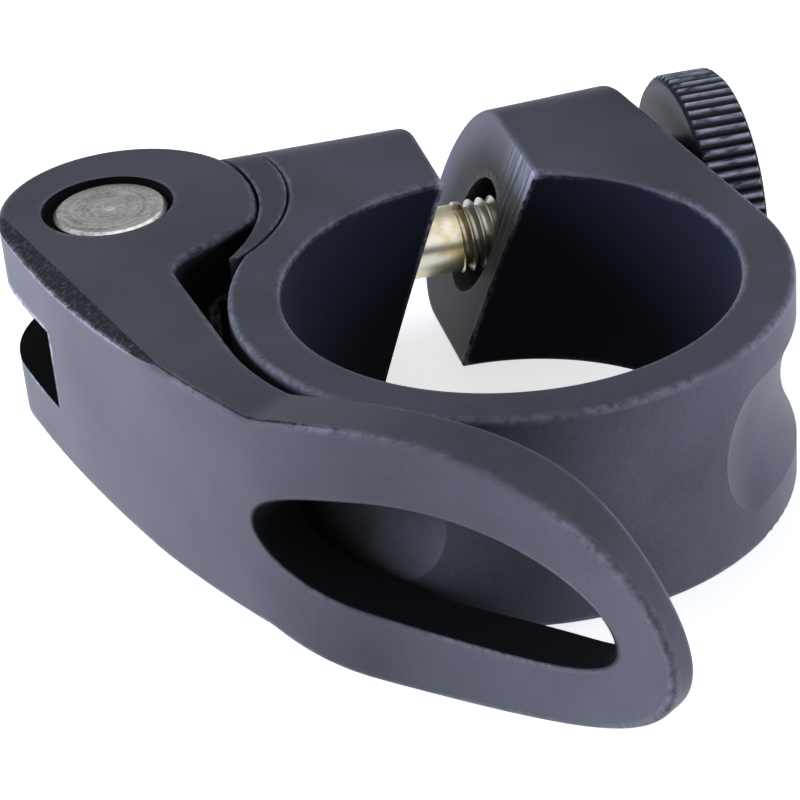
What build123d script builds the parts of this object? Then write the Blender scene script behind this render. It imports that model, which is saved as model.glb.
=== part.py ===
from build123d import *
import math
import os

# Quick-release seatpost clamp, shown closed. The origin is on the tube axis at mid-height,
# X runs along the skewer bolt from lever to nut, Y points at the split and Z is up.
# Lengths are millimetres and angles degrees.

# Collar ring and its two lugs
bore_d = 28.6
collar_wall = 3.3
collar_h = 14.5
rim_round = 0.4
split_gap = 5.45
split_lean = 22.3
split_shift = -0.33
bolt_offset = 2.25
nose_offset = 2.1
nut_lug_skew = 4.7
lug_taper = 7.0

# Hollow channels milled along both sides of the ring
channel_r = 10.3
channel_depth = 1.0
channel_front_angle = 41.0
channel_rear_azimuth = 147.0

# Skewer bolt, barrel pin and the holes they pass through
bolt_d = 5.0
thread_clearance = 0.05
lug_hole_left_d = 5.8
lug_hole_right_d = 7.6
pin_d = 7.7
pin_clearance = 0.05
pin_recess = 0.35
pin_bevel = 0.25
bolt_pin_inset = 0.8
bolt_end_inset = 0.3
bolt_bevel = 0.4

# Knurled nut
nut_d = 17.4
nut_w = 4.0
nut_hub_d = 8.6
nut_bevel = 0.4
nut_seat_inset = 3.7
nut_seat_margin = 0.5
nut_seat_gap = 0.05
nut_stand_off = 3.35
knurl_teeth = 64
knurl_depth = 0.35

# Curved pad between the cam and the left lug
pad_t = 2.2
pad_seat_inset = 7.15
pad_seat_r = 13.1
pad_seat_bite = 0.41
pad_cam_r = 14.8
pad_cam_azimuth = 12.5
pad_front_reach = 11.15
pad_fit = 0.05

# Lever: cam ears, arm and paddle
cam_r = 8.45
cam_offset = 0.95
cam_drop = 0.1
cam_gap = 0.15
lever_h = 14.5
fork_slot_h = 5.6
fork_slot_reach = 8.2
counterbore_d = 8.8
counterbore_depth = 0.8
counterbore_shift_x = -0.2
counterbore_shift_y = -0.35
arm_t = 3.75
neck_azimuth = 208.0
shoulder_azimuth = 230.5
sweep_r = 45.0
sweep_turn = 28.6
lever_ring_gap = 0.8
arm_inner_azimuth = 188.0
paddle_inner_azimuth = 222.0
heel_azimuth = -18.0
heel_round = 1.2
heel_flank_heading = 214.0
crotch_r = 2.4
paddle_t = 3.4
paddle_t_at = 0.55
tip_t = 1.75
tip_bulge = 0.5
paddle_heading = -53.7
paddle_swell = 1.35
paddle_rise_u = 1.3
crease_r = 4.0
paddle_crest_u = 10.7
paddle_tip_u = 30.3
cutout_l = 24.7
cutout_h = 7.9
cutout_u = 13.3
ear_bevel_w = 0.9
ear_bevel_slope = 27.0
ear_bevel_end = 0.8
lever_round = 0.4


def polar(radius, azimuth):
    """Point in plan at a radius and azimuth from the tube axis."""
    a = math.radians(azimuth)
    return Vector(radius * math.cos(a), radius * math.sin(a))


# Places that follow from the sizes above
bore_r = bore_d / 2
outer_r = bore_r + collar_wall
bolt_y = outer_r + bolt_offset
half_h = collar_h / 2
nose_y = bolt_y + nose_offset
lug_end_y = nose_y + collar_h
nut_seat_x = outer_r - nut_seat_inset
pad_seat_x = pad_seat_inset - outer_r
pad_face_x = pad_seat_x - pad_t
cam_centre = Vector(pad_face_x - cam_gap - cam_r, bolt_y - cam_drop)
pin_centre = Vector(cam_centre.X - cam_offset, bolt_y)
pad_seat_reach = outer_r + pad_seat_r - pad_seat_bite
pad_seat_back = pad_seat_x - pad_seat_r
pad_seat_centre = Vector(pad_seat_back, math.sqrt(pad_seat_reach**2 - pad_seat_back**2))
pad_cam_centre = cam_centre - polar(pad_cam_r - cam_r - cam_gap, pad_cam_azimuth)
paddle_h = lever_h + 2 * paddle_swell
nut_inner_x = nut_seat_x + nut_stand_off
nut_outer_x = nut_inner_x + nut_w
reach = 4 * (outer_r + collar_h)


def along_x(x_start, x_end, radius, y=bolt_y):
    """Round bar along X on the bolt's level."""
    start = Plane(origin=(x_start, y, 0), z_dir=(1, 0, 0))
    return extrude(start * Circle(radius), x_end - x_start)


def upright(centre, radius, height):
    """Round bar along Z, centred on the mid-plane."""
    return Pos(centre.X, centre.Y) * Cylinder(radius, height)


def nose_block(skew=0):
    """Everything inside the side outline of a lug, with its full-round rear end."""
    outline = Plane.YZ * Pos(nose_y / 2, 0) * SlotCenterToCenter(nose_y, collar_h)
    return Rot(0, 0, skew) * extrude(outline, reach, both=True)


def split_block(width, align):
    """Block along the leaning split, as wide as asked and aligned on the split's middle."""
    block = Box(width, reach, 2 * reach, align=(align, Align.MIN, Align.CENTER))
    return Pos(split_shift, 0, 0) * Rot(0, split_lean, 0) * block


def lug(corners, side, skew=0):
    """Full-height lug on a plan polygon that starts inside the ring and runs past the split."""
    plan = make_face(Polyline((0, 0), *corners, close=True))
    body = extrude(plan, half_h, both=True) & nose_block(skew)
    return body & split_block(reach, side)


def side_channels():
    """Hollow channels with ball-nosed front ends, one each side."""
    path_r = outer_r + channel_r - channel_depth
    front = channel_front_angle - 90
    section = Plane.XZ * Pos(path_r, 0) * Circle(channel_r)
    right = Rot(0, 0, front) * revolve(section, Axis.Z, lug_taper - front)
    left = Rot(0, 0, channel_rear_azimuth) * revolve(section, Axis.Z, 180 - front - channel_rear_azimuth)
    ball = Sphere(channel_r)
    right_end = polar(path_r, front)
    left_end = polar(path_r, 180 - front)
    run_start = polar(path_r, lug_taper)
    run_dir = polar(1, lug_taper + 90)
    run = extrude(Plane(origin=run_start, z_dir=run_dir) * Circle(channel_r), reach)
    return [right, left, Pos(right_end) * ball, Pos(left_end) * ball, run]


def make_collar():
    """Split ring with a seat for the pad on one lug and for the nut on the other."""
    nut_side = polar(outer_r, lug_taper)
    nut_end = nut_side + polar(1, lug_taper + 90) * lug_end_y
    pad_side = pad_seat_centre.normalized() * outer_r
    pad_end = Vector(pad_seat_centre.X, nut_end.Y)
    body = Cylinder(outer_r, collar_h)
    body += lug([nut_side, nut_end, (-outer_r, nut_end.Y)], Align.MIN, nut_lug_skew)
    body += lug([(outer_r, nut_end.Y), pad_end, pad_side], Align.MAX)
    body -= Cylinder(bore_r, 2 * collar_h)
    body -= upright(pad_seat_centre, pad_seat_r, 2 * collar_h)
    body -= split_block(split_gap, Align.CENTER)
    flat = body.edges().filter_by(Plane.XY)
    rims = [edge for edge in flat if edge.center().Y < nose_y - rim_round]
    body = fillet(rims, rim_round)
    for channel in side_channels():
        body -= channel
    body -= along_x(-reach, 0, lug_hole_left_d / 2)
    body -= along_x(0, reach, lug_hole_right_d / 2)
    body -= along_x(nut_seat_x, reach, nut_hub_d / 2 + nut_seat_margin)
    return body


def make_pad():
    """Crescent pad that spreads the cam's load over the left lug."""
    pad = upright(pad_seat_centre, pad_seat_r - pad_fit, collar_h)
    pad -= upright(pad_cam_centre, pad_cam_r, 2 * collar_h)
    pad &= nose_block()
    behind = Box(reach, reach, reach, align=(Align.CENTER, Align.MIN, Align.CENTER))
    pad &= Pos(0, bolt_y - pad_front_reach, 0) * behind
    pad -= along_x(-reach, 0, lug_hole_left_d / 2)
    return pad


def outer_edges():
    """Plan of the lever's outer face: arm, shoulder round the ring and the outward sweep."""
    shoulder_r = outer_r + lever_ring_gap + arm_t
    neck = polar(shoulder_r, neck_azimuth)
    middle = polar(shoulder_r, (neck_azimuth + shoulder_azimuth) / 2)
    shoulder = ThreePointArc(neck, middle, polar(shoulder_r, shoulder_azimuth))
    inward = polar(-1, neck_azimuth)
    from_cam = neck - cam_centre
    arm_r = (from_cam.length**2 - cam_r**2) / (-2 * (inward.dot(from_cam) + cam_r))
    arm_centre = neck + inward * arm_r
    start = arm_centre + (cam_centre - arm_centre).normalized() * arm_r
    half_way = ((start + neck) * 0.5 - arm_centre).normalized()
    arm = ThreePointArc(start, arm_centre + half_way * arm_r, neck)
    sweep = JernArc(shoulder @ 1, shoulder % 1, sweep_r, -sweep_turn)
    return arm, shoulder, sweep


def lever_plan():
    """Closed plan outline of cam, arm and paddle."""
    arm, shoulder, sweep = outer_edges()
    inside = Vector(0, 0, 1).cross(sweep % 1)
    tip_outer = sweep @ 1
    tip_inner = tip_outer + inside * tip_t
    tip_end = (tip_outer + tip_inner) * 0.5 + (sweep % 1) * tip_bulge
    tip = ThreePointArc(tip_outer, tip_end, tip_inner)
    ring_r = outer_r + lever_ring_gap
    paddle_start = polar(ring_r, paddle_inner_azimuth)
    arm_end = polar(ring_r, arm_inner_azimuth)
    ring_mid = polar(ring_r, (arm_inner_azimuth + paddle_inner_azimuth) / 2)
    ring_arc = ThreePointArc(paddle_start, ring_mid, arm_end)
    thick_point = sweep @ paddle_t_at + Vector(0, 0, 1).cross(sweep % paddle_t_at) * paddle_t
    paddle_back = Spline(
        tip_inner,
        thick_point,
        paddle_start,
        tangents=(-(sweep % 1), ring_arc % 0),
    )
    heel_r = pad_cam_r - cam_gap
    heel = pad_cam_centre + polar(heel_r, heel_azimuth)
    flank_normal = polar(1, heel_flank_heading + 90)
    up = ring_arc % 1
    crotch = arm_end + up * ((heel - arm_end).dot(flank_normal) / up.dot(flank_normal))
    arm_back = Line(arm_end, crotch)
    flank = Line(crotch, heel)
    heel_mid = pad_cam_centre + polar(heel_r, (heel_azimuth + pad_cam_azimuth) / 2)
    lobe = cam_centre + polar(cam_r, pad_cam_azimuth)
    heel_arc = ThreePointArc(heel, heel_mid, lobe)
    cam_arc = ThreePointArc(lobe, cam_centre + polar(cam_r, pad_cam_azimuth + 90), arm @ 0)
    outer = [arm, shoulder, sweep, tip]
    inner = [paddle_back, ring_arc, arm_back, flank, heel_arc, cam_arc]
    face = make_face(outer + inner)
    face = fillet(face.vertices().sort_by_distance(crotch)[0], crotch_r)
    return fillet(face.vertices().sort_by_distance(heel)[0], heel_round)


def paddle_plane():
    """Upright plane along the paddle; its u runs from the neck to the tip."""
    neck = outer_edges()[0] @ 1
    return Plane(origin=neck, x_dir=polar(1, paddle_heading), z_dir=polar(1, paddle_heading - 90))


def lever_side():
    """Side outline of the lever, level along the arm and swelling into the paddle."""
    arm_half = lever_h / 2
    crest = paddle_h / 2
    length = paddle_tip_u - paddle_crest_u
    upper = TangentArc((paddle_crest_u, crest), (paddle_rise_u, arm_half), tangent=(-1, 0))
    lower = TangentArc((paddle_crest_u, -crest), (paddle_rise_u, -arm_half), tangent=(-1, 0))
    tip = EllipticalCenterArc((paddle_crest_u, 0), length, crest, start_angle=-90, arc_size=180)
    back = Polyline(
        (paddle_rise_u, arm_half),
        (-reach, arm_half),
        (-reach, -arm_half),
        (paddle_rise_u, -arm_half),
    )
    face = make_face([upper, lower, tip, back])
    creases = face.vertices().sort_by_distance((paddle_rise_u, 0))[:2]
    return fillet(creases, crease_r)


def outline_edges(edges):
    """Edges that follow the lever's outline, without the seams across its walls."""
    across = Axis((0, 0, 0), paddle_plane().z_dir)
    return edges.filter_by(Axis.Z, reverse=True).filter_by(across, reverse=True)


def ear_bevel():
    """Block that takes the sloping bevel off the ear's upper outer edge."""
    arm = outer_edges()[0]
    up = Vector(0, 0, 1)
    start = arm @ 0 + up.cross(arm % 0) * ear_bevel_w
    along = (arm @ ear_bevel_end - start).normalized()
    tilt = math.radians(ear_bevel_slope)
    normal = up * math.cos(tilt) - up.cross(along) * math.sin(tilt)
    plane = Plane(origin=start + up * (lever_h / 2), x_dir=along, z_dir=normal)
    return plane * Box(reach, reach, reach, align=(Align.CENTER, Align.CENTER, Align.MIN))


def make_lever():
    """Forked cam lever with an oval finger opening in its paddle."""
    side = extrude(paddle_plane() * lever_side(), reach, both=True)
    blank = extrude(lever_plan(), paddle_h, both=True) & side
    blank = fillet(outline_edges(blank.edges()), lever_round)
    cutout = Pos(cutout_u, 0) * Ellipse(cutout_l / 2, cutout_h / 2)
    finger_hole = extrude(paddle_plane() * cutout, paddle_h, both=True)
    body = blank - finger_hole
    body = fillet(outline_edges(new_edges(blank, finger_hole, combined=body)), lever_round)
    slot = Box(reach, reach, fork_slot_h, align=(Align.CENTER, Align.MIN, Align.CENTER))
    body -= Pos(0, pin_centre.Y - fork_slot_reach, 0) * slot
    body -= upright(pin_centre, pin_d / 2 + pin_clearance, reach)
    sink = Cylinder(counterbore_d / 2, counterbore_depth, align=(Align.CENTER, Align.CENTER, Align.MAX))
    sink_centre = pin_centre + Vector(counterbore_shift_x, counterbore_shift_y)
    top_sink = Pos(sink_centre.X, sink_centre.Y, lever_h / 2) * sink
    bevel = ear_bevel()
    for tool in (top_sink, bevel):
        body -= tool
        body -= mirror(tool, Plane.XY)
    return body


def make_pin():
    """Barrel pin across the fork, cross-drilled for the skewer bolt."""
    pin = upright(pin_centre, pin_d / 2, lever_h - 2 * pin_recess)
    pin = chamfer(pin.edges().filter_by(GeomType.CIRCLE), pin_bevel)
    return pin - along_x(-reach, reach, bolt_d / 2 + thread_clearance)


def make_bolt():
    """Skewer bolt from the barrel pin to the nut's outer face."""
    start_x = pin_centre.X - pin_d / 2 + bolt_pin_inset
    bolt = along_x(start_x, nut_outer_x - bolt_end_inset, bolt_d / 2)
    return chamfer(bolt.edges().filter_by(GeomType.CIRCLE), bolt_bevel)


def make_nut():
    """Thumb nut with a straight knurl and a plain hub that bears on the lug."""
    tip_r = nut_d / 2
    root_r = tip_r - knurl_depth
    step = 180 / knurl_teeth
    rim = [polar(tip_r if i % 2 == 0 else root_r, i * step) for i in range(2 * knurl_teeth)]
    face = Plane(origin=(nut_inner_x, bolt_y, 0), x_dir=(0, 1, 0), z_dir=(1, 0, 0))
    knurl = extrude(face * make_face(Polyline(rim, close=True)), nut_w)
    blank = along_x(nut_inner_x, nut_outer_x, tip_r)
    knurl &= chamfer(blank.edges().filter_by(GeomType.CIRCLE), nut_bevel)
    nut = knurl + along_x(nut_seat_x + nut_seat_gap, nut_inner_x, nut_hub_d / 2)
    return nut - along_x(-reach, reach, bolt_d / 2 + thread_clearance)


parts = {
    "collar": make_collar,
    "cam_pad": make_pad,
    "lever": make_lever,
    "barrel_pin": make_pin,
    "skewer_bolt": make_bolt,
    "knurled_nut": make_nut,
}

os.makedirs("parts", exist_ok=True)
for node, make in parts.items():
    export_step(make(), f"parts/{node}.step")
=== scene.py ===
import math

import bpy
from mathutils import Matrix, Vector


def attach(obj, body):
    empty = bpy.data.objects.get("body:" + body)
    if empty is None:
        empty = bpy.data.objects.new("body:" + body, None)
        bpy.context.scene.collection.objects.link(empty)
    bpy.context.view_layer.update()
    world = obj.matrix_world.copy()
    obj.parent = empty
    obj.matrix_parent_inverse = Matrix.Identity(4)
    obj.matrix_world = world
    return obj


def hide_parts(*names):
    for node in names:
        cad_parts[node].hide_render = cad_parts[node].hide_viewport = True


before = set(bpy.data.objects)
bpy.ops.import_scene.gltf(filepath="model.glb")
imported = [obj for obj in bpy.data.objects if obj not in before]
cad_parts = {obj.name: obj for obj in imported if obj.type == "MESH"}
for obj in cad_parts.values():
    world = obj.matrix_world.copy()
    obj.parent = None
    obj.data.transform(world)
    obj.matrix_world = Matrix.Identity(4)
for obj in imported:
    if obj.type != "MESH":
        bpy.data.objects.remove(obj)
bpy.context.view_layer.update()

MM = 0.001

# Places of the part's own axes, in millimetres
BOLT_Y = 19.85
PIN_X = -22.2
SPLIT_LEAN = math.radians(22.3)
EAR_TRIM_WAY = (-0.443, -0.106, 0.891)
PADDLE_START = (-19.56, -10.4, 0.0)
PADDLE_WAY = (0.592, -0.806, 0.0)
OVAL_MIDDLE = 13.3
OVAL_HALF_LENGTH = 12.35
OVAL_HALF_HEIGHT = 3.95
SLOT_HALF_HEIGHT = 2.8
SLOT_START_Y = 11.65
BORE_R = 14.3
SINK_CENTRE = (-22.4, 19.5, 0.0)
SINK_R = 4.4
HUB_R = 4.3
KNURL_TIP_R = 8.7
KNURL_ROOT_R = 8.35
NUT_INNER_X = 17.25

# Anodised film: its sheen, and the pale grey of its convex edges, partly rubbing wear and partly a
# painted highlight
FILM_SPECULAR = 0.18
EDGE_WEAR_AND_HIGHLIGHT = "#b4b6bd"
EDGE_WEAR_AND_HIGHLIGHT_REACH = 0.7
PAD_SCUFF_AND_HIGHLIGHT_REACH = 0.45

# Skewer bolt: a rolled M5 x 0.8 thread, proud of a thinner shank, and a full-size end in the pin
BOLT_R = 2.5
SHANK_R = 2.35
SHANK_START_X = -18.0
SHANK_STEP = 0.15
BOLT_START_X = -25.25
BOLT_END_X = 20.95
BOLT_BEVEL = 0.4
THREAD_PITCH = 0.8
THREAD_START_X = 1.45
THREAD_DEPTH = 0.49
THREAD_CREST = 0.1
THREAD_ROOT = 0.2
THREAD_STEPS = 48
CUTTER_PROUD = 0.05
SWEEP_SEED = 0.1
WELD = 0.0001
SMOOTH_ANGLE = 30

# Where each mask of the finishes, the painted shade and the painted highlights starts and where
# it is full, in millimetres; the oval's is a share of its own size
CUTTER_LINES_REAR_Y = (19.5, 16.0)
CUTTER_LINES_FRONT_Y = (10.0, 11.0)
CUTTER_LINES_Z = (-1.5, 1.0)
CUTTER_LINES_X = (8.0, 7.0)
BORE_SHADE_R = (BORE_R + 0.07, BORE_R + 0.02)
OVAL_WALL = (1.05, 1.02)
SLOT_BETWEEN_Z = (SLOT_HALF_HEIGHT + 0.12, SLOT_HALF_HEIGHT + 0.04)
SLOT_BEHIND_Y = (SLOT_START_Y - 0.12, SLOT_START_Y - 0.04)
SINK_WALL_R = (SINK_R + 0.06, SINK_R + 0.02)
PAST_PIN_R = (5.2, 6.0)
PIN_NUB_R = (0.45, 0.25)
KNURL_GROOVE_R = (KNURL_TIP_R - 0.1, KNURL_ROOT_R + 0.05)
KNURL_FOOT_R = (KNURL_ROOT_R - 0.3, KNURL_ROOT_R - 0.1)
KNURL_SHINE_R = (KNURL_TIP_R - 0.2, KNURL_TIP_R - 0.03)
NUT_FACE_SHADOW_R = (HUB_R + 4.0, HUB_R + 2.2)
NUT_INNER_FACE_X = (NUT_INNER_X + 0.3, NUT_INNER_X + 0.1)
SILVER_X = (THREAD_START_X - 0.2, THREAD_START_X + 0.6)
BROWN_START_X = (THREAD_START_X - 0.7, THREAD_START_X + 0.3)
BROWN_END_X = (THREAD_START_X + 1.6, THREAD_START_X + 0.4)

# Camera fitted to the photograph
CAMERA_AT = (-36.25, -143.86, 85.65)
CAMERA_RIGHT = (0.9681, -0.2387, -0.0770)
CAMERA_UP = (0.1858, 0.4762, 0.8596)
CAMERA_LENS = 121.5
CAMERA_SENSOR = 36.0
CAMERA_CLIP = (1, 10000)

# Floor and studio light
FLOOR_Z = -8.75
FLOOR_SIZE = 4000.0
FLOOR_LIFT = 0.7
ROOM_LEVEL = 0.15
GREY_CARD_WAY = (0.0, 0.8, 0.6)
GREY_CARD_EDGE = (0.6, 0.85)
GREY_CARD_LEVEL = 0.36

# Softboxes: azimuth and elevation in degrees, distance and size in millimetres, power in watts
SOFTBOX_COLOUR = "#d8e1ff"
SOFTBOXES = {
    "left_softbox": (166, 12, 420, 220, 4.3),
    "right_softbox": (336, 10, 450, 200, 3.15),
}


def linear(hex_colour):
    """Linear colour of an sRGB hex value."""
    parts = [int(hex_colour[i : i + 2], 16) / 255 for i in (1, 3, 5)]
    lin = [c / 12.92 if c <= 0.04045 else ((c + 0.055) / 1.055) ** 2.4 for c in parts]
    return (*lin, 1.0)


def per_mm(size):
    """Pattern scale whose features are this many millimetres wide."""
    return 1 / (size * MM)


def node(tree, kind, values=None, links=None, **settings):
    """Adds a node with its settings, its fixed inputs and the outputs that feed it."""
    made = tree.nodes.new("ShaderNode" + kind)
    for name, value in settings.items():
        setattr(made, name, value)
    for name, value in (values or {}).items():
        made.inputs[name].default_value = value
    for name, source in (links or {}).items():
        tree.links.new(source, made.inputs[name])
    return made


def new_material(name):
    """Empty node material and its tree, shader and object coordinates."""
    material = bpy.data.materials.new(name)
    material.use_nodes = True
    tree = material.node_tree
    tree.nodes.clear()
    shader = node(tree, "BsdfPrincipled")
    node(tree, "OutputMaterial", links={"Surface": shader.outputs["BSDF"]})
    coords = node(tree, "TexCoord")
    return material, tree, shader, coords


def film(tree, place, dark, light, grain, grit):
    """Mottled colour of an anodised film, and the fine blasted grain under it; grit is how
    strongly the grain shows against the broad clouds."""
    cloud = node(tree, "TexNoise", {"Scale": per_mm(9), "Detail": 3.0}, {"Vector": place})
    speck = node(tree, "TexNoise", {"Scale": per_mm(grain), "Detail": 2.0}, {"Vector": place})
    tone = node(
        tree,
        "Math",
        {1: grit},
        {0: speck.outputs["Fac"], 2: cloud.outputs["Fac"]},
        operation="MULTIPLY_ADD",
    )
    middle = (1 + grit) / 2
    share = node(
        tree,
        "MapRange",
        {"From Min": middle - 0.3, "From Max": middle + 0.3},
        {"Value": tone.outputs["Value"]},
    )
    colour = node(
        tree,
        "Mix",
        {6: linear(dark), 7: linear(light)},
        {0: share.outputs["Result"]},
        data_type="RGBA",
    )
    return colour.outputs[2], speck.outputs["Fac"]


def worn_and_highlighted_edges(tree, place, colour, reach, pale=EDGE_WEAR_AND_HIGHLIGHT, open_to_hands=None):
    """The colour with its convex edges turned, in patches, to a paler one, partly rubbing wear and
    partly a painted highlight; less so where they aren't open to hands."""
    inside = node(
        tree,
        "AmbientOcclusion",
        {"Distance": reach * MM},
        samples=8,
        inside=True,
        only_local=True,
    )
    edge = node(
        tree,
        "MapRange",
        {"From Min": 0.8, "From Max": 0.66},
        {"Value": inside.outputs["AO"]},
    )
    chips = node(tree, "TexNoise", {"Scale": per_mm(0.5), "Detail": 5.0}, {"Vector": place})
    patchy = node(
        tree,
        "MapRange",
        {"From Min": 0.34, "From Max": 0.58},
        {"Value": chips.outputs["Fac"]},
    )
    drift = node(tree, "TexNoise", {"Scale": per_mm(7), "Detail": 2.0}, {"Vector": place})
    stretch = node(
        tree,
        "MapRange",
        {"From Min": 0.38, "From Max": 0.56, "To Min": 0.1, "To Max": 1.0},
        {"Value": drift.outputs["Fac"]},
    )
    shares = [patchy.outputs["Result"], stretch.outputs["Result"]]
    if open_to_hands:
        shares.append(open_to_hands)
    # The pale edge colour is partly wear and partly a painted highlight
    wear_and_highlight = edge.outputs["Result"]
    for share in shares:
        both = node(tree, "Math", None, {0: wear_and_highlight, 1: share}, operation="MULTIPLY")
        wear_and_highlight = both.outputs["Value"]
    return node(
        tree,
        "Mix",
        {7: linear(pale)},
        {0: wear_and_highlight, 6: colour},
        data_type="RGBA",
    ).outputs[2]


def satin(tree, shader, colour, speck, height, depth, roughness, matt=None):
    """Wires a colour, a sheen that the grain breaks up and a shallow relief to the shader;
    where matt is one the sheen is gone."""
    tree.links.new(colour, shader.inputs["Base Color"])
    sheen = node(
        tree,
        "MapRange",
        {"To Min": roughness - 0.06, "To Max": roughness + 0.08},
        {"Value": speck},
    )
    dulled = sheen.outputs["Result"]
    if matt:
        mixed = node(tree, "Mix", {3: 1.0}, {0: matt, 2: dulled}, data_type="FLOAT")
        dulled = mixed.outputs[0]
    tree.links.new(dulled, shader.inputs["Roughness"])
    bump = node(tree, "Bump", {"Strength": 0.6, "Distance": depth * MM}, {"Height": height})
    tree.links.new(bump.outputs["Normal"], shader.inputs["Normal"])
    shader.inputs["Specular IOR Level"].default_value = FILM_SPECULAR


def facing(tree, coords, direction, start, full):
    """One where the surface faces a direction, from the cosines at which it starts and is full."""
    lean = node(
        tree,
        "VectorMath",
        {1: direction},
        {0: coords.outputs["Normal"]},
        operation="DOT_PRODUCT",
    )
    return node(
        tree,
        "MapRange",
        {"From Min": start, "From Max": full},
        {"Value": lean.outputs["Value"]},
    ).outputs["Result"]


def from_axis(tree, place, centre, across):
    """Distance in metres, along the axes across it, from an axis through a centre in
    millimetres."""
    centred = node(
        tree,
        "VectorMath",
        {1: [v * MM for v in centre]},
        {0: place},
        operation="SUBTRACT",
    )
    flat = node(
        tree,
        "VectorMath",
        {1: across},
        {0: centred.outputs["Vector"]},
        operation="MULTIPLY",
    )
    length = node(tree, "VectorMath", None, {0: flat.outputs["Vector"]}, operation="LENGTH")
    return length.outputs["Value"]


def collar_finish():
    """Black anodised aluminium, shot-blasted: a blue-grey satin with a fine grain, pale rims that
    are partly rubbing wear and partly painted highlight, the wall of the clamp's hole painted
    nearly black and matt as shade and, on the upper half of the split's faces, cutter lines."""
    material, tree, shader, coords = new_material("black_anodised_aluminium_blasted")
    place = coords.outputs["Object"]
    colour, speck = film(tree, place, "#3e3f43", "#535459", 0.2, 0.6)
    lines = node(
        tree,
        "VectorMath",
        {1: (0.08, 1.0, 0.08)},
        {0: place},
        operation="MULTIPLY",
    )
    cutter = node(
        tree,
        "TexNoise",
        {"Scale": per_mm(0.45), "Detail": 3.0, "Distortion": 0.3},
        {"Vector": lines.outputs["Vector"]},
    )
    ridge = node(
        tree,
        "MapRange",
        {"From Min": 0.4, "From Max": 0.62},
        {"Value": cutter.outputs["Fac"]},
    )
    axis = node(tree, "SeparateXYZ", None, {"Vector": place})
    near_bore = node(
        tree,
        "MapRange",
        {"From Min": CUTTER_LINES_REAR_Y[0] * MM, "From Max": CUTTER_LINES_REAR_Y[1] * MM},
        {"Value": axis.outputs["Y"]},
    )
    past_ring = node(
        tree,
        "MapRange",
        {"From Min": CUTTER_LINES_FRONT_Y[0] * MM, "From Max": CUTTER_LINES_FRONT_Y[1] * MM},
        {"Value": axis.outputs["Y"]},
    )
    upper_half = node(
        tree,
        "MapRange",
        {"From Min": CUTTER_LINES_Z[0] * MM, "From Max": CUTTER_LINES_Z[1] * MM},
        {"Value": axis.outputs["Z"]},
    )
    sideways = node(tree, "Math", None, {0: axis.outputs["X"]}, operation="ABSOLUTE")
    near_split = node(
        tree,
        "MapRange",
        {"From Min": CUTTER_LINES_X[0] * MM, "From Max": CUTTER_LINES_X[1] * MM},
        {"Value": sideways.outputs["Value"]},
    )
    faces = []
    for side in (-1, 1):
        way = (side * math.cos(SPLIT_LEAN), 0.0, -side * math.sin(SPLIT_LEAN))
        faces.append(facing(tree, coords, way, 0.96, 0.99))
    either = node(tree, "Math", None, {0: faces[0], 1: faces[1]}, operation="ADD")
    milled = either.outputs["Value"]
    for share in (near_bore, past_ring, upper_half, near_split, ridge):
        milled = node(
            tree,
            "Math",
            None,
            {0: milled, 1: share.outputs["Result"]},
            operation="MULTIPLY",
        ).outputs["Value"]
    colour = node(
        tree,
        "Mix",
        {7: linear("#8f9198")},
        {0: milled, 6: colour},
        data_type="RGBA",
    ).outputs[2]
    # The wall of the clamp's hole is painted nearly black and made matt: painted shade
    bore_painted_shade = node(
        tree,
        "MapRange",
        {"From Min": BORE_SHADE_R[0] * MM, "From Max": BORE_SHADE_R[1] * MM},
        {"Value": from_axis(tree, place, (0, 0, 0), (1, 1, 0))},
    )
    colour = node(
        tree,
        "Mix",
        {7: linear("#1a1d26")},
        {0: bore_painted_shade.outputs["Result"], 6: colour},
        data_type="RGBA",
    ).outputs[2]
    height = node(tree, "Math", {1: 2.0}, {0: milled, 2: speck}, operation="MULTIPLY_ADD")
    colour = worn_and_highlighted_edges(tree, place, colour, EDGE_WEAR_AND_HIGHLIGHT_REACH)
    satin(tree, shader, colour, speck, height.outputs["Value"], 0.02, 0.46, bore_painted_shade.outputs["Result"])
    return material


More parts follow.
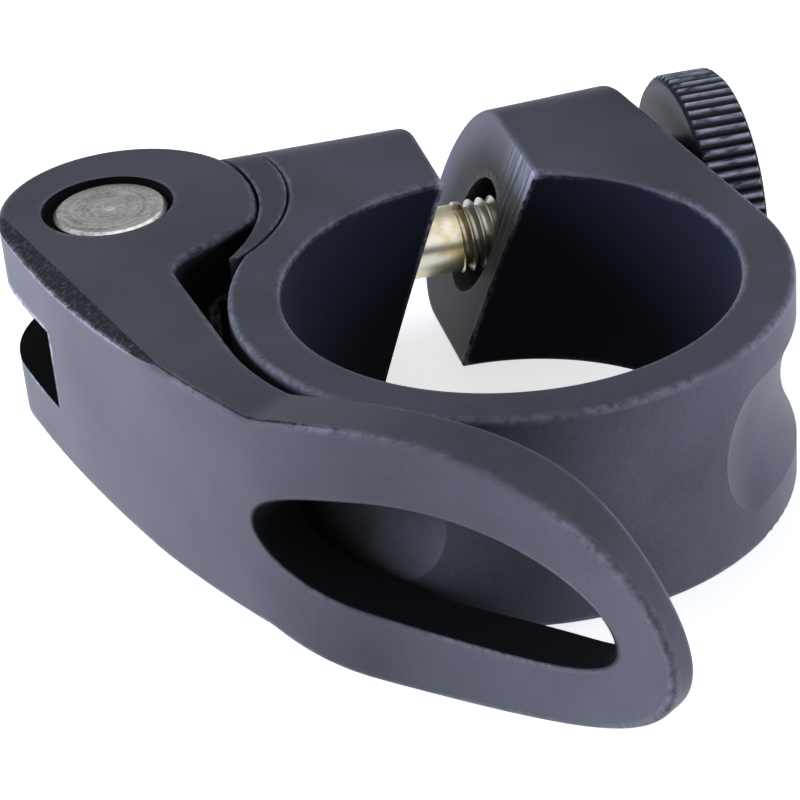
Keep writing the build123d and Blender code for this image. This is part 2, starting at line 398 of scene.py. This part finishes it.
def opening_shade_mask(tree, place):
    """Mask of painted shade: one on the wall faces of the lever's oval opening, the slot between
    its ears and the sinks round its pin."""
    neck = node(
        tree,
        "VectorMath",
        {1: [v * MM for v in PADDLE_START]},
        {0: place},
        operation="SUBTRACT",
    )
    along = node(
        tree,
        "VectorMath",
        {1: PADDLE_WAY},
        {0: neck.outputs["Vector"]},
        operation="DOT_PRODUCT",
    )
    spot = node(tree, "SeparateXYZ", None, {"Vector": place})
    oval = node(
        tree,
        "CombineXYZ",
        None,
        {"X": along.outputs["Value"], "Z": spot.outputs["Z"]},
    )
    middle = node(
        tree,
        "VectorMath",
        {1: (-OVAL_MIDDLE * MM, 0.0, 0.0)},
        {0: oval.outputs["Vector"]},
        operation="ADD",
    )
    scaled = node(
        tree,
        "VectorMath",
        {1: (1 / (OVAL_HALF_LENGTH * MM), 0.0, 1 / (OVAL_HALF_HEIGHT * MM))},
        {0: middle.outputs["Vector"]},
        operation="MULTIPLY",
    )
    radius = node(tree, "VectorMath", None, {0: scaled.outputs["Vector"]}, operation="LENGTH")
    cut = node(
        tree,
        "MapRange",
        {"From Min": OVAL_WALL[0], "From Max": OVAL_WALL[1]},
        {"Value": radius.outputs["Value"]},
    )
    height = node(tree, "Math", None, {0: spot.outputs["Z"]}, operation="ABSOLUTE")
    between = node(
        tree,
        "MapRange",
        {"From Min": SLOT_BETWEEN_Z[0] * MM, "From Max": SLOT_BETWEEN_Z[1] * MM},
        {"Value": height.outputs["Value"]},
    )
    behind = node(
        tree,
        "MapRange",
        {"From Min": SLOT_BEHIND_Y[0] * MM, "From Max": SLOT_BEHIND_Y[1] * MM},
        {"Value": spot.outputs["Y"]},
    )
    slot = node(
        tree,
        "Math",
        None,
        {0: between.outputs["Result"], 1: behind.outputs["Result"]},
        operation="MULTIPLY",
    )
    sink = node(
        tree,
        "MapRange",
        {"From Min": SINK_WALL_R[0] * MM, "From Max": SINK_WALL_R[1] * MM},
        {"Value": from_axis(tree, place, SINK_CENTRE, (1, 1, 0))},
    )
    either = node(
        tree,
        "Math",
        None,
        {0: cut.outputs["Result"], 1: slot.outputs["Value"]},
        operation="MAXIMUM",
    )
    return node(
        tree,
        "Math",
        None,
        {0: either.outputs["Value"], 1: sink.outputs["Result"]},
        operation="MAXIMUM",
    ).outputs["Value"]


def lever_finish():
    """Black anodised aluminium, satin: a smoother blue-grey sheen than the collar's, bright edges
    that are partly rubbing wear and partly painted highlight, a coarse dark strip where the ear's
    edge is trimmed, painted shade of deeper black on the faces towards the tube, and near black
    matt painted shade in the oval opening, the slot between the ears and the sinks round the pin."""
    material, tree, shader, coords = new_material("black_anodised_aluminium_satin")
    place = coords.outputs["Object"]
    colour, speck = film(tree, place, "#414144", "#535357", 0.18, 0.5)
    # Faces turned towards the tube get a painted shade of deeper black
    outward = node(tree, "VectorMath", {1: (1.0, 1.0, 0.0)}, {0: place}, operation="MULTIPLY")
    unit = node(tree, "VectorMath", None, {0: outward.outputs["Vector"]}, operation="NORMALIZE")
    lean = node(
        tree,
        "VectorMath",
        None,
        {0: unit.outputs["Vector"], 1: coords.outputs["Normal"]},
        operation="DOT_PRODUCT",
    )
    inward_painted_shade = node(
        tree,
        "MapRange",
        {"From Min": -0.35, "From Max": -0.75},
        {"Value": lean.outputs["Value"]},
    )
    colour = node(
        tree,
        "Mix",
        {7: linear("#1b1c1f")},
        {0: inward_painted_shade.outputs["Result"], 6: colour},
        data_type="RGBA",
    ).outputs[2]
    trimmed = facing(tree, coords, EAR_TRIM_WAY, 0.975, 0.992)
    coarse = node(tree, "TexNoise", {"Scale": per_mm(0.25), "Detail": 5.0}, {"Vector": place})
    burrs = node(
        tree,
        "MapRange",
        {"From Min": 0.5, "From Max": 0.85},
        {"Value": coarse.outputs["Fac"]},
    )
    torn = node(
        tree,
        "Mix",
        {6: linear("#17181b"), 7: linear("#4a4c52")},
        {0: burrs.outputs["Result"]},
        data_type="RGBA",
    )
    colour = node(
        tree,
        "Mix",
        None,
        {0: trimmed, 6: colour, 7: torn.outputs[2]},
        data_type="RGBA",
    ).outputs[2]
    rough_strip = node(
        tree,
        "Math",
        None,
        {0: trimmed, 1: burrs.outputs["Result"]},
        operation="MULTIPLY",
    )
    height = node(
        tree,
        "Math",
        {1: 4.0},
        {0: rough_strip.outputs["Value"], 2: speck},
        operation="MULTIPLY_ADD",
    )
    past_pin = node(
        tree,
        "MapRange",
        {"From Min": PAST_PIN_R[0] * MM, "From Max": PAST_PIN_R[1] * MM, "To Min": 0.2},
        {"Value": from_axis(tree, place, (PIN_X, BOLT_Y, 0), (1, 1, 0))},
    )
    colour = worn_and_highlighted_edges(tree, place, colour, EDGE_WEAR_AND_HIGHLIGHT_REACH, open_to_hands=past_pin.outputs["Result"])
    # Painted shade: the opening, the slot and the sinks go near black and matt
    opening_painted_shade = opening_shade_mask(tree, place)
    colour = node(
        tree,
        "Mix",
        {7: linear("#040507")},
        {0: opening_painted_shade, 6: colour},
        data_type="RGBA",
    ).outputs[2]
    satin(tree, shader, colour, speck, height.outputs["Value"], 0.008, 0.42, opening_painted_shade)
    return material


def nut_finish():
    """Black anodised aluminium with a knurl: the grooves are painted near black as shade, the
    ridge tips a broken pale grey, partly handling wear and partly a painted highlight, and a
    painted shadow darkens the face round the hub."""
    material, tree, shader, coords = new_material("black_anodised_aluminium_knurled")
    place = coords.outputs["Object"]
    colour, speck = film(tree, place, "#2a2b2f", "#3d3e43", 0.2, 0.5)
    radius = from_axis(tree, place, (0, BOLT_Y, 0), (0, 1, 1))
    # The knurl's grooves are painted near black: painted shade
    knurl_groove_shade = node(
        tree,
        "MapRange",
        {"From Min": KNURL_GROOVE_R[0] * MM, "From Max": KNURL_GROOVE_R[1] * MM},
        {"Value": radius},
    )
    near_knurl = node(
        tree,
        "MapRange",
        {"From Min": KNURL_FOOT_R[0] * MM, "From Max": KNURL_FOOT_R[1] * MM},
        {"Value": radius},
    )
    black = node(
        tree,
        "Math",
        None,
        {0: knurl_groove_shade.outputs["Result"], 1: near_knurl.outputs["Result"]},
        operation="MULTIPLY",
    )
    colour = node(
        tree,
        "Mix",
        {7: linear("#050609")},
        {0: black.outputs["Value"], 6: colour},
        data_type="RGBA",
    ).outputs[2]
    # A painted shadow darkens the face towards the collar round the hub
    face_shadow_ring = node(
        tree,
        "MapRange",
        {"From Min": NUT_FACE_SHADOW_R[0] * MM, "From Max": NUT_FACE_SHADOW_R[1] * MM},
        {"Value": radius},
    )
    axis = node(tree, "SeparateXYZ", None, {"Vector": place})
    inner_side = node(
        tree,
        "MapRange",
        {"From Min": NUT_INNER_FACE_X[0] * MM, "From Max": NUT_INNER_FACE_X[1] * MM},
        {"Value": axis.outputs["X"]},
    )
    painted_face_shadow = node(
        tree,
        "Math",
        None,
        {0: face_shadow_ring.outputs["Result"], 1: inner_side.outputs["Result"]},
        operation="MULTIPLY",
    )
    colour = node(
        tree,
        "Mix",
        {7: linear("#08090b")},
        {0: painted_face_shadow.outputs["Value"], 6: colour},
        data_type="RGBA",
    ).outputs[2]
    # The ridge tips get a broken pale grey, partly handling wear and partly a painted highlight
    tips = node(
        tree,
        "MapRange",
        {"From Min": KNURL_SHINE_R[0] * MM, "From Max": KNURL_SHINE_R[1] * MM},
        {"Value": radius},
    )
    streaks = node(tree, "VectorMath", {1: (0.3, 1.0, 1.0)}, {0: place}, operation="MULTIPLY")
    chips = node(
        tree,
        "TexNoise",
        {"Scale": per_mm(0.4), "Detail": 4.0},
        {"Vector": streaks.outputs["Vector"]},
    )
    patchy = node(
        tree,
        "MapRange",
        {"From Min": 0.36, "From Max": 0.56},
        {"Value": chips.outputs["Fac"]},
    )
    tip_wear_and_highlight = node(
        tree,
        "Math",
        None,
        {0: tips.outputs["Result"], 1: patchy.outputs["Result"]},
        operation="MULTIPLY",
    )
    colour = node(
        tree,
        "Mix",
        {7: linear("#a3a6ac")},
        {0: tip_wear_and_highlight.outputs["Value"], 6: colour},
        data_type="RGBA",
    ).outputs[2]
    satin(tree, shader, colour, speck, speck, 0.012, 0.4)
    return material


def turned_steel():
    """Turned steel pin: fine broken arcs round its end faces, a bright nub where the tool left
    the middle, and a duller side where it turns in the ears."""
    material, tree, shader, coords = new_material("turned_steel")
    place = coords.outputs["Object"]
    radius = from_axis(tree, place, (PIN_X, BOLT_Y, 0), (1, 1, 0))
    along = node(tree, "CombineXYZ", None, {"X": radius})
    drawn_out = node(
        tree,
        "VectorMath",
        {1: (0.1, 0.1, 0.1)},
        {0: place, 2: along.outputs["Vector"]},
        operation="MULTIPLY_ADD",
    )
    arcs = node(
        tree,
        "TexNoise",
        {"Scale": per_mm(0.35), "Detail": 4.0, "Roughness": 0.6},
        {"Vector": drawn_out.outputs["Vector"]},
    )
    scuffs = node(tree, "TexNoise", {"Scale": per_mm(0.3), "Detail": 5.0}, {"Vector": place})
    both = node(
        tree,
        "Math",
        {1: 0.8},
        {0: scuffs.outputs["Fac"], 2: arcs.outputs["Fac"]},
        operation="MULTIPLY_ADD",
    )
    smear = node(tree, "TexNoise", {"Scale": per_mm(1.6), "Detail": 3.0}, {"Vector": place})
    mottled = node(
        tree,
        "Math",
        {1: 0.8},
        {0: smear.outputs["Fac"], 2: both.outputs["Value"]},
        operation="MULTIPLY_ADD",
    )
    tone = node(
        tree,
        "MapRange",
        {"From Min": 1.0, "From Max": 1.55},
        {"Value": mottled.outputs["Value"]},
    )
    faced = node(
        tree,
        "Mix",
        {6: linear("#a4a4a3"), 7: linear("#ffffff")},
        {0: tone.outputs["Result"]},
        data_type="RGBA",
    )
    lean = node(tree, "SeparateXYZ", None, {"Vector": coords.outputs["Normal"]})
    upright = node(tree, "Math", None, {0: lean.outputs["Z"]}, operation="ABSOLUTE")
    end = node(
        tree,
        "MapRange",
        {"From Min": 0.2, "From Max": 0.6},
        {"Value": upright.outputs["Value"]},
    )
    sided = node(
        tree,
        "Mix",
        {6: linear("#5a5a5c")},
        {0: end.outputs["Result"], 7: faced.outputs[2]},
        data_type="RGBA",
    )
    dot = node(
        tree,
        "MapRange",
        {"From Min": PIN_NUB_R[0] * MM, "From Max": PIN_NUB_R[1] * MM},
        {"Value": radius},
    )
    colour = node(
        tree,
        "Mix",
        {7: linear("#ffffff")},
        {0: dot.outputs["Result"], 6: sided.outputs[2]},
        data_type="RGBA",
    )
    tree.links.new(colour.outputs[2], shader.inputs["Base Color"])
    gloss = node(
        tree,
        "MapRange",
        {"To Min": 0.55, "To Max": 0.36},
        {"Value": tone.outputs["Result"]},
    )
    tree.links.new(gloss.outputs["Result"], shader.inputs["Roughness"])
    nub = node(
        tree,
        "Math",
        {1: 8.0},
        {0: dot.outputs["Result"], 2: both.outputs["Value"]},
        operation="MULTIPLY_ADD",
    )
    bump = node(
        tree,
        "Bump",
        {"Strength": 0.6, "Distance": 0.02 * MM},
        {"Height": nub.outputs["Value"]},
    )
    tree.links.new(bump.outputs["Normal"], shader.inputs["Normal"])
    shader.inputs["Metallic"].default_value = 1.0
    return material


def zinc_plate():
    """Zinc-plated steel with a yellow passivation film: a pale shank with straw stains, a band of
    painted shade, tinted dark straw, where the thread starts, and a greyer thread."""
    material, tree, shader, coords = new_material("zinc_plated_steel_yellow_passivated")
    place = coords.outputs["Object"]
    stain = node(
        tree,
        "TexNoise",
        {"Scale": per_mm(2.2), "Detail": 5.0, "Roughness": 0.6},
        {"Vector": place},
    )
    straw = node(
        tree,
        "MapRange",
        {"From Min": 0.46, "From Max": 0.66},
        {"Value": stain.outputs["Fac"]},
    )
    shank = node(
        tree,
        "Mix",
        {6: linear("#fbf7ea"), 7: linear("#e3cb7e")},
        {0: straw.outputs["Result"]},
        data_type="RGBA",
    )
    axis = node(tree, "SeparateXYZ", None, {"Vector": place})
    threaded = node(
        tree,
        "MapRange",
        {"From Min": SILVER_X[0] * MM, "From Max": SILVER_X[1] * MM},
        {"Value": axis.outputs["X"]},
    )
    silver = node(
        tree,
        "Mix",
        {7: linear("#cdcac1")},
        {0: threaded.outputs["Result"], 6: shank.outputs[2]},
        data_type="RGBA",
    )
    # A band of painted shade, tinted dark straw, where the thread starts
    near_thread = node(
        tree,
        "MapRange",
        {"From Min": BROWN_START_X[0] * MM, "From Max": BROWN_START_X[1] * MM},
        {"Value": axis.outputs["X"]},
    )
    past_thread = node(
        tree,
        "MapRange",
        {"From Min": BROWN_END_X[0] * MM, "From Max": BROWN_END_X[1] * MM},
        {"Value": axis.outputs["X"]},
    )
    band = node(
        tree,
        "Math",
        None,
        {0: near_thread.outputs["Result"], 1: past_thread.outputs["Result"]},
        operation="MULTIPLY",
    )
    blotch = node(tree, "TexNoise", {"Scale": per_mm(0.6), "Detail": 3.0}, {"Vector": place})
    brown_painted_shade = node(
        tree,
        "Math",
        None,
        {0: band.outputs["Value"], 1: blotch.outputs["Fac"]},
        operation="MULTIPLY",
    )
    colour = node(
        tree,
        "Mix",
        {7: linear("#6d5a34")},
        {0: brown_painted_shade.outputs["Value"], 6: silver.outputs[2]},
        data_type="RGBA",
    )
    tree.links.new(colour.outputs[2], shader.inputs["Base Color"])
    gloss = node(
        tree,
        "MapRange",
        {"To Min": 0.24, "To Max": 0.44},
        {"Value": stain.outputs["Fac"]},
    )
    tree.links.new(gloss.outputs["Result"], shader.inputs["Roughness"])
    bump = node(
        tree,
        "Bump",
        {"Strength": 0.4, "Distance": 0.01 * MM},
        {"Height": blotch.outputs["Fac"]},
    )
    tree.links.new(bump.outputs["Normal"], shader.inputs["Normal"])
    shader.inputs["Metallic"].default_value = 1.0
    return material


def acetal():
    """Moulded black acetal pad: smooth, slightly waxy, a little duller than the metal, with pale
    grey edges, partly scuffing wear and partly a painted highlight."""
    material, tree, shader, coords = new_material("moulded_black_acetal")
    place = coords.outputs["Object"]
    haze = node(tree, "TexNoise", {"Scale": per_mm(0.5), "Detail": 3.0}, {"Vector": place})
    colour = node(
        tree,
        "Mix",
        {6: linear("#2e2f33"), 7: linear("#3d3e43")},
        {0: haze.outputs["Fac"]},
        data_type="RGBA",
    )
    # Pale grey edges: partly scuffing wear, partly a painted highlight
    scuffed_and_highlighted = worn_and_highlighted_edges(tree, place, colour.outputs[2], PAD_SCUFF_AND_HIGHLIGHT_REACH, "#6a6b70")
    tree.links.new(scuffed_and_highlighted, shader.inputs["Base Color"])
    gloss = node(tree, "MapRange", {"To Min": 0.4, "To Max": 0.55}, {"Value": haze.outputs["Fac"]})
    tree.links.new(gloss.outputs["Result"], shader.inputs["Roughness"])
    shader.inputs["IOR"].default_value = 1.48
    return material


def finish_mesh(piece, material):
    """Applies the piece's place, smooths it by angle and gives it its material."""
    bpy.ops.object.select_all(action="DESELECT")
    piece.select_set(True)
    bpy.context.view_layer.objects.active = piece
    bpy.ops.object.transform_apply(location=True, rotation=True, scale=True)
    bpy.ops.object.shade_smooth_by_angle(angle=math.radians(SMOOTH_ANGLE))
    piece.data.materials.clear()
    piece.data.materials.append(material)


def swept(corners, closed, steps, turns, pitch):
    """Mesh swept round the X axis from a chain of corners, each a place along the axis and a
    radius in millimetres; a closed chain is swept to a bar with capped ends."""
    bpy.ops.object.select_all(action="DESELECT")
    bpy.ops.mesh.primitive_plane_add(size=SWEEP_SEED * MM, location=(0, 0, 0))
    piece = bpy.context.object
    bpy.ops.object.mode_set(mode="EDIT")
    bpy.ops.mesh.select_mode(type="VERT")
    bpy.ops.mesh.select_all(action="SELECT")
    bpy.ops.mesh.merge(type="CENTER")
    bpy.ops.transform.translate(value=(corners[0][0] * MM, 0, corners[0][1] * MM))
    for here, there in zip(corners, corners[1:]):
        step = ((there[0] - here[0]) * MM, 0, (there[1] - here[1]) * MM)
        bpy.ops.mesh.extrude_region_move(TRANSFORM_OT_translate={"value": step})
    if closed:
        bpy.ops.mesh.select_all(action="SELECT")
        bpy.ops.mesh.edge_face_add()
        bpy.ops.mesh.delete(type="ONLY_FACE")
    bpy.ops.object.mode_set(mode="OBJECT")
    screw = piece.modifiers.new("sweep", "SCREW")
    screw.axis = "X"
    screw.steps = steps
    screw.render_steps = steps
    screw.iterations = turns
    screw.screw_offset = pitch * MM
    screw.use_smooth_shade = False
    bpy.ops.object.modifier_apply(modifier="sweep")
    bpy.ops.object.mode_set(mode="EDIT")
    bpy.ops.mesh.select_all(action="SELECT")
    bpy.ops.mesh.remove_doubles(threshold=WELD * MM)
    if closed:
        bpy.ops.mesh.select_all(action="DESELECT")
        bpy.ops.mesh.select_mode(type="EDGE")
        bpy.ops.mesh.select_non_manifold()
        bpy.ops.mesh.edge_face_add()
    bpy.ops.mesh.select_all(action="SELECT")
    bpy.ops.mesh.normals_make_consistent(inside=False)
    bpy.ops.object.mode_set(mode="OBJECT")
    return piece


def bolt_blank():
    """Turned blank along X: bevelled ends, a full-size end for the pin and a thinner shank."""
    corners = [
        (BOLT_START_X, 0.0),
        (BOLT_START_X, BOLT_R - BOLT_BEVEL),
        (BOLT_START_X + BOLT_BEVEL, BOLT_R),
        (SHANK_START_X, BOLT_R),
        (SHANK_START_X + SHANK_STEP, SHANK_R),
        (THREAD_START_X - SHANK_STEP, SHANK_R),
        (THREAD_START_X, BOLT_R),
        (BOLT_END_X - BOLT_BEVEL, BOLT_R),
        (BOLT_END_X, BOLT_R - BOLT_BEVEL),
        (BOLT_END_X, 0.0),
    ]
    return swept(corners, False, 2 * THREAD_STEPS, 1, 0.0)


def thread_cutter():
    """Helical V-shaped cutter for the thread, a little proud of the bolt's skin."""
    half_root = THREAD_ROOT / 2
    half_mouth = (THREAD_PITCH - THREAD_CREST) / 2
    slope = (half_mouth - half_root) / THREAD_DEPTH
    outer = half_mouth + slope * CUTTER_PROUD
    corners = [
        (-outer, BOLT_R + CUTTER_PROUD),
        (-half_root, BOLT_R - THREAD_DEPTH),
        (half_root, BOLT_R - THREAD_DEPTH),
        (outer, BOLT_R + CUTTER_PROUD),
    ]
    turns = math.ceil((BOLT_END_X - THREAD_START_X) / THREAD_PITCH) + 1
    cutter = swept(corners, True, THREAD_STEPS, turns, THREAD_PITCH)
    cutter.location.x = THREAD_START_X * MM
    bpy.ops.object.transform_apply(location=True, rotation=True, scale=True)
    return cutter


def skewer_bolt(material):
    """Bolt with a real thread, cut as on a lathe, in place of the plain CAD rod."""
    cutter = thread_cutter()
    bolt = bolt_blank()
    bolt.name = "skewer_bolt_threaded"
    cut = bolt.modifiers.new("thread", "BOOLEAN")
    cut.operation = "DIFFERENCE"
    cut.solver = "EXACT"
    cut.object = cutter
    bpy.ops.object.select_all(action="DESELECT")
    bolt.select_set(True)
    bpy.context.view_layer.objects.active = bolt
    bpy.ops.object.modifier_apply(modifier="thread")
    bpy.data.objects.remove(cutter)
    bolt.location.y = BOLT_Y * MM
    finish_mesh(bolt, material)
    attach(bolt, "skewer")
    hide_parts("skewer_bolt")


def seen_rays(tree):
    """One for rays that show the background: seen by the camera, mirrored or through glass."""
    path = node(tree, "LightPath")
    either = node(
        tree,
        "Math",
        None,
        {0: path.outputs["Is Camera Ray"], 1: path.outputs["Is Glossy Ray"]},
        operation="MAXIMUM",
    )
    return node(
        tree,
        "Math",
        None,
        {0: either.outputs["Value"], 1: path.outputs["Is Transmission Ray"]},
        operation="MAXIMUM",
    ).outputs["Value"]


def pale_floor():
    """White sweep under the part; it keeps a soft shadow."""
    bpy.ops.object.select_all(action="DESELECT")
    bpy.ops.mesh.primitive_plane_add(size=FLOOR_SIZE * MM, location=(0, 0, FLOOR_Z * MM))
    floor = bpy.context.object
    floor.name = "floor"
    material, tree, shader, _ = new_material("white_paper_sweep")
    shader.inputs["Base Color"].default_value = linear("#f2f1ec")
    shader.inputs["Roughness"].default_value = 1.0
    shader.inputs["Specular IOR Level"].default_value = 0.0
    shader.inputs["Emission Color"].default_value = (1.0, 1.0, 1.0, 1.0)
    lift = node(tree, "Math", {1: FLOOR_LIFT}, {0: seen_rays(tree)}, operation="MULTIPLY")
    tree.links.new(lift.outputs["Value"], shader.inputs["Emission Strength"])
    floor.data.materials.append(material)


def studio_room():
    """Even room light: the camera and mirrors see white, with a grey card high at the back."""
    world = bpy.data.worlds.new("studio")
    bpy.context.scene.world = world
    world.use_nodes = True
    tree = world.node_tree
    tree.nodes.clear()
    way = node(tree, "TexCoord")
    towards = node(
        tree,
        "VectorMath",
        {1: GREY_CARD_WAY},
        {0: way.outputs["Generated"]},
        operation="DOT_PRODUCT",
    )
    shown = node(
        tree,
        "MapRange",
        {
            "From Min": GREY_CARD_EDGE[0],
            "From Max": GREY_CARD_EDGE[1],
            "To Min": 1.0,
            "To Max": GREY_CARD_LEVEL,
        },
        {"Value": towards.outputs["Value"]},
    )
    level = node(
        tree,
        "Mix",
        {2: ROOM_LEVEL},
        {0: seen_rays(tree), 3: shown.outputs["Result"]},
        data_type="FLOAT",
    )
    light = node(
        tree,
        "Background",
        {"Color": (1.0, 1.0, 1.0, 1.0)},
        {"Strength": level.outputs[0]},
    )
    node(tree, "OutputWorld", links={"Surface": light.outputs["Background"]})


def softbox(name, azimuth, elevation, distance, size, power):
    """Square soft light aimed at the part and left out of its mirrored light; azimuth is counted
    from +X towards +Y."""
    a, e = math.radians(azimuth), math.radians(elevation)
    away = Vector((math.cos(a) * math.cos(e), math.sin(a) * math.cos(e), math.sin(e)))
    lamp = bpy.data.lights.new(name, "AREA")
    lamp.size = size * MM
    lamp.energy = power
    lamp.color = linear(SOFTBOX_COLOUR)[:3]
    box = bpy.data.objects.new(name, lamp)
    box.location = away * distance * MM
    box.rotation_mode = "QUATERNION"
    box.rotation_quaternion = away.to_track_quat("Z", "Y")
    bpy.context.scene.collection.objects.link(box)
    box.visible_glossy = False


def photo_camera():
    """Camera at the photograph's viewpoint."""
    right = Vector(CAMERA_RIGHT).normalized()
    back = right.cross(Vector(CAMERA_UP)).normalized()
    up = back.cross(right)
    lens = bpy.data.cameras.new("photo_camera")
    lens.lens = CAMERA_LENS
    lens.sensor_width = CAMERA_SENSOR
    lens.clip_start = CAMERA_CLIP[0] * MM
    lens.clip_end = CAMERA_CLIP[1] * MM
    camera = bpy.data.objects.new("photo_camera", lens)
    turned = Matrix((right, up, back)).transposed().to_4x4()
    camera.matrix_world = Matrix.Translation(Vector(CAMERA_AT) * MM) @ turned
    bpy.context.scene.collection.objects.link(camera)
    bpy.context.scene.camera = camera


bpy.context.scene.view_settings.view_transform = "Standard"

photo_camera()
studio_room()
pale_floor()
for name, settings in SOFTBOXES.items():
    softbox(name, *settings)

finishes = {
    "collar": collar_finish(),
    "lever": lever_finish(),
    "knurled_nut": nut_finish(),
    "cam_pad": acetal(),
    "barrel_pin": turned_steel(),
}
for name, material in finishes.items():
    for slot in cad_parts[name].material_slots:
        slot.material = material

skewer_bolt(zinc_plate())
